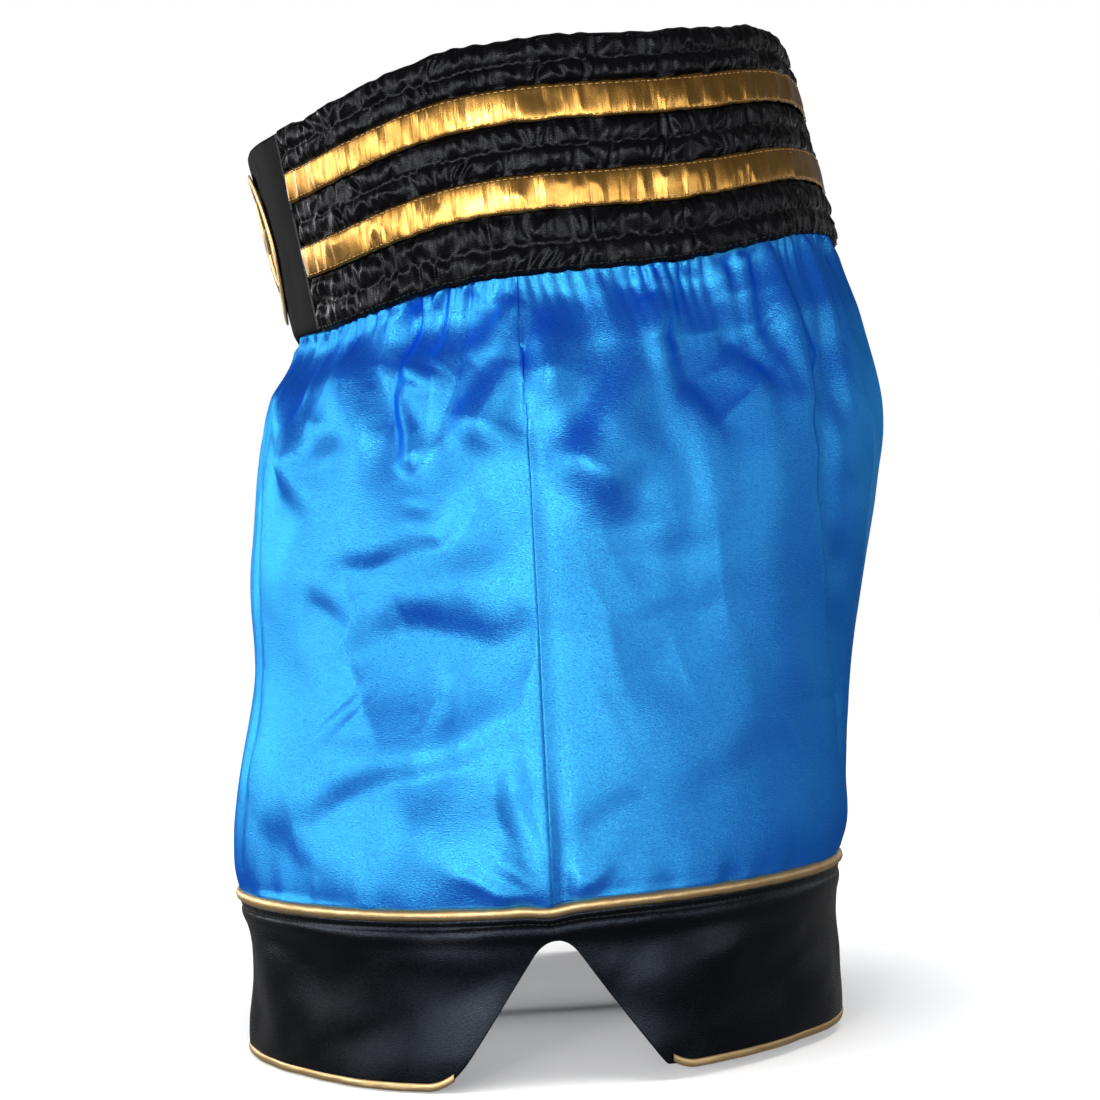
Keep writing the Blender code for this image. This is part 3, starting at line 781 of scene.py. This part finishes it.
for part, sign, width in (("front", -1, hem["ventFront"]), ("back", 1, hem["ventBack"])):
    angles = hemAngles(part, 0.0, 120, hem["columns"] - 119)
    offset = legPoint(0.0, angles)[:, 1] - legs["seamY"]
    outside = np.cos(angles) > 0.2
    foot = hemFoot(angles, np.abs(offset), part)
    lower = np.maximum(foot + hem["bindingHeight"] * 0.8, np.where(outside, ventEdge(offset), 0.0))
    rise = np.linspace(0, 1, hem["rows"])[:, None]
    level = lower + (hemTop - lower) * rise
    allAngles = np.broadcast_to(angles, level.shape)
    edgeAngles = hemAngles(part, width - 0.002, 40, 260)
    edgeOffset = np.abs(legPoint(0.0, edgeAngles)[:, 1] - legs["seamY"])
    edgeFoot = hemFoot(edgeAngles, edgeOffset, part)
    edgeFoot = edgeFoot + (np.cos(edgeAngles) > 0.2) * ventEdge(sign * edgeOffset) * 0.8
    for side in ("left", "right"):
        seed = seeds[side]
        points, reach = hemPoint(level, allAngles, seed)
        uv = clothUv(reach, level)
        # half-round tape folded over the edge: a closed section carried along the hem
        turn = circle(14)[:, None]
        tapeOut = hem["bindingThick"] / 2 * np.sign(np.cos(turn)) * np.abs(np.cos(turn)) ** 0.7
        tapeUp = hem["bindingHeight"] / 2 * (1 + np.sin(turn))
        tapeOut = tapeOut * (1 + 0.12 * noise(edgeOffset[None] / 0.004 + turn, turn, 51))
        tapeLevel = edgeFoot[None] + tapeUp
        tape, tapeReach = hemPoint(tapeLevel, np.broadcast_to(edgeAngles, tapeLevel.shape), seed, tapeOut)
        tape[..., 2] = np.maximum(tape[..., 2], tapeLevel)
        tapeUv = clothUv(tapeReach, turn * 0.001)
        line = np.full(angles.shape, pipingZ - hem["stitchDrop"])
        stitchPath, _ = hemPoint(line, angles, seed, np.full(angles.shape, 0.00075))
        stitchOut = normalsOf(legPoint, line, angles)
        if side == "right":
            points, tape = points * mirror, tape * mirror
            stitchPath, stitchOut = stitchPath * mirror, stitchOut * mirror
        # columns run with the angle on the left back and the right front
        if (part == "front") == (side == "left"):
            points, uv = points[:, ::-1], uv[:, ::-1]
            tape, tapeUv = tape[:, ::-1], tapeUv[:, ::-1]
        addGrid("hem_cloth_%s_%s" % (part, side), points, uv, looks["hemSatin"],
                                        slot="hem_satin", thick=hem["thick"],
                                        replaces=["hem_band_%s_%s" % (part, side)])
        # the two ends are closed by fans of triangles
        rows, columns = tape.shape[:2]
        ends = np.arange(rows) * columns
        fan = np.stack([ends[1:-1], np.zeros(rows - 2, int), ends[2:]], -1)
        tapeMesh = np.concatenate([split(gridFaces(rows, columns, closeRows=True)), fan,
                                   fan[:, [0, 2, 1]] + columns - 1])
        addMesh("hem_tape_%s_%s" % (part, side), tape.reshape(-1, 3), tapeMesh, looks["goldCord"],
                tapeUv.reshape(-1, 2), slot="gold_trim", replaces=["hem_binding_%s_%s" % (part, side)])
        addStitches("hem_stitches_%s_%s" % (part, side), stitchPath, stitchOut, looks["blackThread"],
                    *hem["stitch"])
print("piping and hems made")

# waistband

band = {
    "columns": 1240, "outer": 0.0031, "puff": 0.0013, "pucker": 0.0009, "scallop": 0.0009,
    "lowScallop": 0.0005,
    "covered": 0.15, "coveredDrop": 0.0003,      # channels under the gold tape are pressed flat
    "stitch": (0.0022, 0.0006, 0.0008),          # length, width and gap
}
lines = np.array([0.0, *waist["stitchLines"], 1.0])


def channelPuff(share):
    # 0 on each stitch line and 1 half way between two, like a quilted roll
    place = np.clip(np.searchsorted(lines, share) - 1, 0, len(lines) - 2)
    t = (share - lines[place]) / (lines[place + 1] - lines[place])
    return np.clip(np.sin(math.pi * np.clip(t, 0, 1)), 0, 1) ** 0.7, place


def bandRelief(share, arc, seed=300):
    # rolls between stitch lines, with fine gathers pinched at the lines and looser ones half way
    puff, place = channelPuff(share)
    shift = place * 7.31
    bend = 0.8 * noise(arc / 0.010, share * 11.0, seed + 4)
    tight = noise(arc / 0.0016 + shift, share * 4.0, seed)
    loose = noise(arc / 0.0027 + bend + shift, share * 8.0, seed + 1)
    wide = noise(arc / 0.012 + shift, share * 8.0, seed + 2)
    ridge = 1 - 3 * np.abs(noise(arc / 0.0040 + 1.3 * bend + shift, share * 7.0, seed + 3))
    covered = (place == 2) | (place == 5)
    gathers = (0.8 * tight * (1 - 0.4 * puff) + loose * (0.4 + 0.6 * puff)
               + 0.8 * ridge * (0.25 + 0.75 * puff))
    relief = band["puff"] * puff * (1 + 0.35 * wide) + band["pucker"] * gathers
    return np.where(covered, band["covered"] * relief - band["coveredDrop"], relief)


stripe = {
    "lift": 0.0011, "dome": 0.0006, "crease": 0.00055, "fine": 0.00022, "wide": 0.0003, "thick": 0.0004,
    "scallop": 0.00035, "stitchInset": 0.014, "stitch": (0.0021, 0.0008, 0.0008),
}


def stripeRelief(share, arc, low, high, seed):
    # tape domed across its width, with sharp cross creases and small wrinkles
    t = (share - low) / (high - low)
    middle = np.sin(math.pi * np.clip(t, 0, 1)) ** 0.5
    sharp = 1 - 2 * np.abs(noise(arc / 0.0062, share * 4.0, seed))
    fine = noise(arc / 0.0022, share * 5.0, seed + 1)
    wide = noise(arc / 0.017, share * 3.0, seed + 2)
    creases = stripe["crease"] * sharp * (0.5 + 0.5 * middle)
    wrinkles = stripe["fine"] * fine + stripe["wide"] * wide
    return stripe["lift"] + stripe["dome"] * middle + creases + wrinkles


def bandEdge(share, arc):
    # the top edge rises and falls with the gathers, and the bottom edge a little
    top = smoothStep((share - 0.9) / 0.1)
    wave = noise(arc / 0.012, 0.0, 321) + 0.5 * noise(arc / 0.0045, 0.0, 322)
    low = smoothStep((0.04 - share) / 0.04)
    return band["scallop"] * wave * top + band["lowScallop"] * noise(arc / 0.003, 0.0, 323) * low


def bandSurface(share, angle, extra=0.0):
    arc = bandArc(angle)
    grow = band["outer"] + bandRelief(share, arc) + extra
    return bandPoint(share * waist["height"] + bandEdge(share, arc), angle, grow)


frontMiddle = -math.pi / 2
seamHalf = 0.0005 / bandRadius
bandStart = frontMiddle + waist["panelHalfAngle"] + seamHalf
bandEnd = frontMiddle - waist["panelHalfAngle"] - seamHalf + 2 * math.pi


def sleeve(around, reliefOf, edgeOf, name, replaces, outer=band["outer"], material="blackSatin"):
    # closed section: outer wall up, rounded fold, plain lining down and back under the lower edge
    rise = []
    for low, high in zip(lines[:-1], lines[1:]):
        hidden = low in (lines[2], lines[5])      # channels under the gold tape
        rise.append(np.linspace(low, high, 4 if hidden else 11)[:-1])
    rise = np.concatenate([*rise, [0.985]])
    arc = bandArc(around)[None]
    share = rise[:, None]
    growOuter = (outer + reliefOf(share, arc) * smoothStep((1.02 - share) / 0.06)
                 - 0.0006 * smoothStep((0.03 - share) / 0.03))
    levelOuter = share * waist["height"] + edgeOf(share, arc)
    # lining: growth of the oval, and share of the height
    inside = np.array([0.0018, 0.0004, -0.0009, *[-0.0013] * 6, -0.0004])[:, None]
    fall = np.array([0.9985, 0.9975, 0.985, 0.95, 0.80, 0.60, 0.40, 0.20, 0.04, 0.012])[:, None]
    growInner = inside + 0.0004 * noise(arc / 0.004, fall * 6.0, 331) * (fall < 0.9)
    levelInner = fall * waist["height"] + edgeOf(fall, arc) * (fall > 0.9)
    grow = np.concatenate([growOuter, growInner])
    level = np.concatenate([levelOuter, levelInner])
    points = bandPoint(level, around[None], grow)
    run = np.concatenate([share, 2 - fall]) * waist["height"]
    uv = clothUv(arc, run)
    rows, columns = points.shape[:2]
    faces = gridFaces(rows, columns, closeRows=True)
    # ends closed by ladders of quads between the two walls
    ladders = []
    for column, flip in ((0, False), (columns - 1, True)):
        loop = np.arange(rows) * columns + column
        a, b = loop[: rows // 2], loop[::-1][: rows // 2]
        quads = np.stack([a[:-1], a[1:], b[1:], b[:-1]], -1)
        quads = quads[:, ::-1] if flip else quads
        ladders.append(quads)
        if rows % 2:
            middle = loop[rows // 2]
            last = np.array([[a[-1], middle, b[-1], b[-1]]])
            ladders.append(last[:, ::-1] if flip else last)
    ends = split(np.concatenate(ladders))
    corners = np.sort(ends, 1)
    ends = ends[(corners[:, 0] != corners[:, 1]) & (corners[:, 1] != corners[:, 2])]    # drops flat ones
    return addMesh(name, points.reshape(-1, 3), np.concatenate([split(faces), ends]), looks[material],
                   uv.reshape(-1, 2), slot="black_satin", replaces=replaces)


around = np.linspace(bandStart, bandEnd, band["columns"])
shell = sleeve(around, bandRelief, bandEdge, "waistband_cloth", ["waistband_shell"])


def panelRelief(share, arc):
    # nearly flat cloth with a turned, pressed edge and a few soft creases
    soft = 0.0005 * noise(arc / 0.018, share * 3.0, 341) + 0.00025 * noise(arc / 0.007, share * 7.0, 342)
    return 0.0004 + soft


flatAngles = np.linspace(frontMiddle - waist["panelHalfAngle"], frontMiddle + waist["panelHalfAngle"], 150)
panelPiece = sleeve(flatAngles, panelRelief, lambda share, arc: 0.0 * share * arc, "waistband_front_cloth",
                    ["waistband_front_panel"], outer=0.0033, material="panelSatin")


def bandNormals(share, angle):
    level = np.broadcast_to(share * waist["height"], angle.shape)
    return normalsOf(lambda height, turn: bandPoint(height, turn, 0.003), level, angle)


for name, (low, high), seed in (("upper", waist["stripeUpper"], 400), ("lower", waist["stripeLower"], 420)):
    share = np.linspace(low, high, 14)[:, None]
    arc = bandArc(around)[None]
    edgeWave = stripe["scallop"] * noise(arc / 0.0045, (share - low) / (high - low), seed + 5)
    relief = stripeRelief(share, arc, low, high, seed)
    points = bandPoint(share * waist["height"] + edgeWave, around[None], band["outer"] + relief)
    uv = clothUv(arc, share * waist["height"])
    addGrid("stripe_tape_" + name, points, uv, looks["goldTape"], slot="gold_foil_tape",
                            thick=stripe["thick"], replaces=["gold_stripe_" + name])
    for edge, at in (("top", high - stripe["stitchInset"]), ("bottom", low + stripe["stitchInset"])):
        relief = stripeRelief(np.array(at), arc[0], low, high, seed) + 0.0003
        path = bandPoint(at * waist["height"] + 0.0 * arc[0], around, band["outer"] + relief)
        addStitches("stripe_stitches_%s_%s" % (name, edge), path, bandNormals(at, around),
                    looks["goldThread"], *stripe["stitch"], slot="gold_foil_tape")

# dark thread along the band's lower edge, and satin-stitched edges of the front panel
lowShare = np.full(around.shape, 0.022)
lowPath = bandSurface(lowShare, around, 0.0001)
addStitches("waistband_edge_stitches", lowPath, bandNormals(lowShare, around), looks["blackThread"],
            *band["stitch"])
for side, sign in (("left", 1.0), ("right", -1.0)):
    climbShare = np.linspace(0.0, 0.995, 160)
    edgeAngle = np.full(climbShare.shape, frontMiddle + sign * (waist["panelHalfAngle"] - 0.006))
    edgePath = bandPoint(climbShare * waist["height"], edgeAngle, 0.0041)
    addStitches("front_panel_edge_stitches_" + side, edgePath, bandNormals(climbShare, edgeAngle),
                looks["blackThread"], 0.0030, 0.00055, -0.00225, lean=math.radians(80))

# elastic bands stay inside the channels
for name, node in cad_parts.items():
    if name.startswith("waist_elastic"):
        for holder in node.material_slots:
            holder.material = looks["elastic"]
print("waistband made")

# badge

badge = {
    "outer": 0.036, "inner": 0.0295, "starOuter": 0.0245, "starInner": 0.0105, "tips": 5,
    "layer": 0.0046, "high": 0.0012, "sunk": 0.0004,
}


def badgePoint(x, up, grow):
    reach = np.clip(np.abs(x) / (waist["halfWidth"] + grow), 0, 1) ** (waist["oval"] / 2)
    angle = frontMiddle + np.sign(x) * np.arcsin(reach)
    return bandPoint(waist["height"] / 2 + up / (1 - waist["narrow"]), angle, grow)


# embroidered ring: a rounded section carried round a circle, with a groove at each stitch
turn = circle(240)[None]
section = circle(16)[:, None]
middleRadius = (badge["outer"] + badge["inner"]) / 2
radius = middleRadius + (badge["outer"] - badge["inner"]) / 2 * np.cos(section)
lift = badge["layer"] + badge["high"] * (0.35 + 0.65 * np.sin(section)) * (1 + 0.10 * np.cos(turn * 120))
ringSurface = badgePoint(radius * np.sin(turn), radius * np.cos(turn), lift)
ringUv = clothUv(turn * middleRadius, section * 0.003)
addGrid("badge_ring_embroidery", ringSurface, ringUv, looks["goldThread"], slot="gold_foil_tape",
        closeRows=True, closeColumns=True, replaces=["badge_ring"])

# star: a faceted five-pointed dome, from the centre ridge out to the points, closed underneath
turn = circle(200)
tipStep = 2 * math.pi / badge["tips"]
blend = np.abs((turn / tipStep) % 1.0 - 0.5) * 2            # 1 on a tip, 0 between tips
tipTurn = np.round(turn / tipStep) * tipStep
valleyTurn = (np.floor(turn / tipStep) + 0.5) * tipStep
outline = (badge["starOuter"] * np.stack([np.sin(tipTurn), np.cos(tipTurn)]) * blend
           + badge["starInner"] * np.stack([np.sin(valleyTurn), np.cos(valleyTurn)]) * (1 - blend))
sizes = np.array([1.0, 1.0, 0.93, 0.7, 0.4, 0.02])[:, None]
levels = np.array([0.0, 0.0006, 0.0011, 0.0015, 0.0018, 0.0020])[:, None]
grooves = 1 + 0.05 * np.cos(turn * 90)[None] * np.array([0, 1, 1, 1, 1, 0])[:, None]
starLift = badge["layer"] + levels * grooves - badge["sunk"]
starPoints = badgePoint(outline[0][None] * sizes, outline[1][None] * sizes, starLift)
starPoints = starPoints[::-1]              # from the centre outwards, so that faces point out
under = badgePoint(np.zeros((1, 200)), np.zeros((1, 200)), badge["layer"] - badge["sunk"])
starPoints = np.concatenate([starPoints, under])
starUv = clothUv(turn[None] * 0.02, np.arange(7)[:, None] * 0.004)
addGrid("badge_star_embroidery", starPoints, starUv, looks["goldThread"], slot="gold_foil_tape",
        closeColumns=True, replaces=["badge_star"])
print("badge made")

# floor, light and camera

studio = {
    "floor": (0.86, 0.86, 0.86), "sky": 0.14, "floorSun": 3.4,
    # azimuth, brightness, width and height of each softbox in the ring round the shorts
    "ring": ((-128, 4.0, 1.3, 0.50), (-80, 5.0, 1.3, 0.50), (-32, 5.4, 1.25, 0.36), (10, 4.2, 1.2, 0.34),
             (55, 1.7, 1.1, 0.34), (105, 0.5, 1.3, 0.36), (150, 0.4, 1.3, 0.36), (-172, 0.25, 1.3, 0.36)),
    "ringTall": 0.50, "spark": (-22, 22.0, 0.22, 0.50),
}


def areaLight(name, azimuth, distance, height, width, tall, watts, colour=(1, 1, 1), aim=(0, 0, 0.21)):
    # azimuth 0 is +X and -90 the front; the light looks at the aim
    data = bpy.data.lights.new(name, "AREA")
    data.shape, data.size, data.size_y, data.energy, data.color = "RECTANGLE", width, tall, watts, colour
    light = addObject(name, data)
    a = math.radians(azimuth)
    light.location = (math.cos(a) * distance, math.sin(a) * distance, height)
    light.rotation_mode = "QUATERNION"
    light.rotation_quaternion = (Vector(aim) - light.location).to_track_quat("-Z", "Y")
    light.visible_camera = False


for number, (azimuth, bright, width, height) in enumerate(studio["ring"]):
    areaLight("softbox_%d" % (number + 1), azimuth, 1.8, height, width, studio["ringTall"],
              bright * math.pi * width * studio["ringTall"])
azimuth, bright, size, height = studio["spark"]
areaLight("spark_light", azimuth, 1.8, height, size, size, bright * math.pi * size * size)

floorMesh = bpy.data.meshes.new("studio_floor")
floorMesh.from_pydata([(-6, -6, 0), (6, -6, 0), (6, 6, 0), (-6, 6, 0)], [], [(0, 1, 2, 3)])
floor = addObject("studio_floor", floorMesh)
floor.location.z = -0.0006
paint, tree, shader = newMaterial("studio_floor_paint", {"Roughness": 0.9})
speck = addNode(tree, "TexNoise", {"Scale": 9.0})["Fac"]
tree.links.new(mixColour(tree, speck, studio["floor"], (0.9, 0.9, 0.9)), shader.inputs["Base Color"])
floorMesh.materials.append(paint)
floor.visible_glossy = False
floor.visible_diffuse = False
# an overhead light for the floor alone
overhead = bpy.data.lights.new("floor_light", "SUN")
overhead.energy, overhead.angle = studio["floorSun"], math.radians(60)
floorOnly = bpy.data.collections.new("floor_only")
floorOnly.objects.link(floor)
addObject("floor_light", overhead).light_linking.receiver_collection = floorOnly

world = bpy.data.worlds.new("studio")
world.use_nodes = True
bpy.context.scene.world = world
tree = world.node_tree
# the sky lights the shorts dimly, but the camera sees plain white
plain, shown = [addNode(tree, "Background", {"Color": (1, 1, 1, 1), "Strength": strength})["Background"]
                for strength in (studio["sky"], 1.0)]
direct = addNode(tree, "LightPath", {})["Is Camera Ray"]
choice = addNode(tree, "MixShader", {"Fac": direct, 1: plain, 2: shown})
tree.links.new(choice["Shader"], tree.nodes["World Output"].inputs["Surface"])

camera = {"azimuth": math.radians(5), "distance": 1.2, "height": 0.219, "y": -0.002, "lens": 82.18,
          "roll": math.radians(-2.5)}
cameraData = bpy.data.cameras.new("camera")
cameraData.sensor_width, cameraData.lens = 36.0, camera["lens"]
cameraData.clip_start = 0.05
cameraObject = addObject("camera", cameraData)
aim = Vector((-math.cos(camera["azimuth"]), math.sin(camera["azimuth"]), 0))
cameraObject.location = -aim * camera["distance"] + Vector((0, camera["y"], camera["height"]))
cameraObject.rotation_mode = "QUATERNION"
cameraObject.rotation_quaternion = aim.to_track_quat("-Z", "Y") @ Quaternion((0, 0, 1), camera["roll"])
bpy.context.scene.camera = cameraObject
bpy.context.scene.view_settings.view_transform = "Standard"
